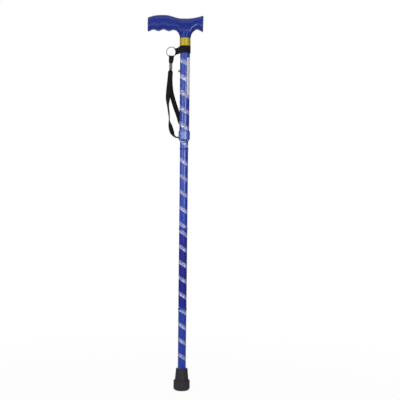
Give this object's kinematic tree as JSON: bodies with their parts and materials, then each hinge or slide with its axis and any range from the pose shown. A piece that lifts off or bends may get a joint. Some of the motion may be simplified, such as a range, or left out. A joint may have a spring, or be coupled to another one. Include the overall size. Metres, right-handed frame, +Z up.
{
  "type": "folding cane",
  "caption": "Height-adjustable folding walking cane with a finger-grooved T handle, wrist strap on a split ring, shock-corded fold joints, a lock nut and a rubber tip",
  "frame": {"origin": "centre of the rubber tip's ground face, on the axis of the tubes", "axes": "+Z up along the tubes, the handle runs along X with its long grip towards -X, front is -Y"},
  "size_m": [0.1244, 0.044, 0.8401],
  "materials": {
    "handle_plastic": "moulded gloss plastic",
    "tube_paint": "blue anodised tube with a spiral of silver foil",
    "gold_band": "polished gold plating",
    "webbing": "black woven webbing",
    "nut_plastic": "tinted gloss plastic",
    "joint_plastic": "moulded plastic",
    "black_plastic": "moulded plastic",
    "ring_steel": "nickel plated wire",
    "crimp_metal": "pressed sheet",
    "button_brass": "turned and polished",
    "steel": "plain steel",
    "cord": "braided elastic cord",
    "tip_rubber": "moulded rubber"
  },
  "bodies": {
    "upper": {"handle": "handle_plastic", "handle_pin": "steel", "handle_band": "gold_band", "upper_tube": "tube_paint", "strap_band": "webbing", "lock_collet": "black_plastic"},
    "lock_nut": {"lock_nut": "nut_plastic"},
    "ring": {"split_ring": "ring_steel"},
    "strap": {"strap_tab": "webbing", "strap_crimp": "crimp_metal", "wrist_loop": "webbing"},
    "inner": {"inner_tube": "tube_paint", "guide_cap": "black_plastic", "button_spring": "steel", "cord_anchor_top": "black_plastic", "cord_upper": "cord", "socket_bush_1": "joint_plastic"},
    "height_button": {"height_button": "button_brass"},
    "link_1": {"cord_link_1": "cord"},
    "second": {"joint_plug_1": "joint_plastic", "second_tube": "tube_paint", "cord_second": "cord", "socket_bush_2": "joint_plastic"},
    "link_2": {"cord_link_2": "cord"},
    "third": {"joint_plug_2": "joint_plastic", "third_tube": "tube_paint", "cord_third": "cord", "socket_bush_3": "joint_plastic"},
    "link_3": {"cord_link_3": "cord"},
    "fourth": {"joint_plug_3": "joint_plastic", "fourth_tube": "tube_paint", "cord_fourth": "cord", "cord_anchor_bottom": "black_plastic", "tip_washer": "steel", "rubber_tip": "tip_rubber"}
  },
  "joints": [
    {"name": "nut_twist", "type": "hinge", "parent": "upper", "child": "lock_nut", "pos_m": [0, 0, 0.571], "axis": [0, 0, 1], "range_deg": [0, 90]},
    {"name": "ring_swing", "type": "hinge", "parent": "upper", "child": "ring", "pos_m": [-0.0192, 0, 0.7578], "axis": [0, 0, 1], "range_deg": [0, 60]},
    {"name": "strap_swing", "type": "hinge", "parent": "ring", "child": "strap", "pos_m": [-0.0302, 0, 0.7472], "axis": [1, 0, 0], "range_deg": [0, 60]},
    {"name": "height_slide", "type": "slide", "parent": "upper", "child": "inner", "axis": [0, 0, -1], "range_m": [0, 0.0762]},
    {"name": "button_push", "type": "slide", "parent": "inner", "child": "height_button", "axis": [1, 0, 0], "range_m": [0, 0.0055], "stiffness_N_per_m": 1500, "springref_m": -0.003, "deforming": ["button_spring"]},
    {"name": "pull_1", "type": "slide", "parent": "inner", "child": "link_1", "axis": [0, 0, -1], "range_m": [0, 0.045], "stiffness_N_per_m": 100, "springref_m": -0.08, "deforming": ["cord_link_1"]},
    {"name": "fold_1", "type": "hinge", "parent": "link_1", "child": "second", "pos_m": [0, -0.013, 0.546], "axis": [-1, 0, 0], "range_deg": [0, 180]},
    {"name": "pull_2", "type": "slide", "parent": "second", "child": "link_2", "axis": [0, 0, -1], "range_m": [0, 0.045], "stiffness_N_per_m": 100, "springref_m": -0.08, "deforming": ["cord_link_2"]},
    {"name": "fold_2", "type": "hinge", "parent": "link_2", "child": "third", "pos_m": [0.0155, 0, 0.367], "axis": [0, -1, 0], "range_deg": [0, 180]},
    {"name": "pull_3", "type": "slide", "parent": "third", "child": "link_3", "axis": [0, 0, -1], "range_m": [0, 0.045], "stiffness_N_per_m": 100, "springref_m": -0.08, "deforming": ["cord_link_3"]},
    {"name": "fold_3", "type": "hinge", "parent": "link_3", "child": "fourth", "pos_m": [0, 0.015, 0.188], "axis": [1, 0, 0], "range_deg": [0, 180]}
  ],
  "couplings": [
    {"joint": "fold_1", "follows": "pull_1", "rad_per_m": 69.774},
    {"joint": "fold_2", "follows": "pull_2", "rad_per_m": 69.774},
    {"joint": "fold_3", "follows": "pull_3", "rad_per_m": 69.774}
  ]
}
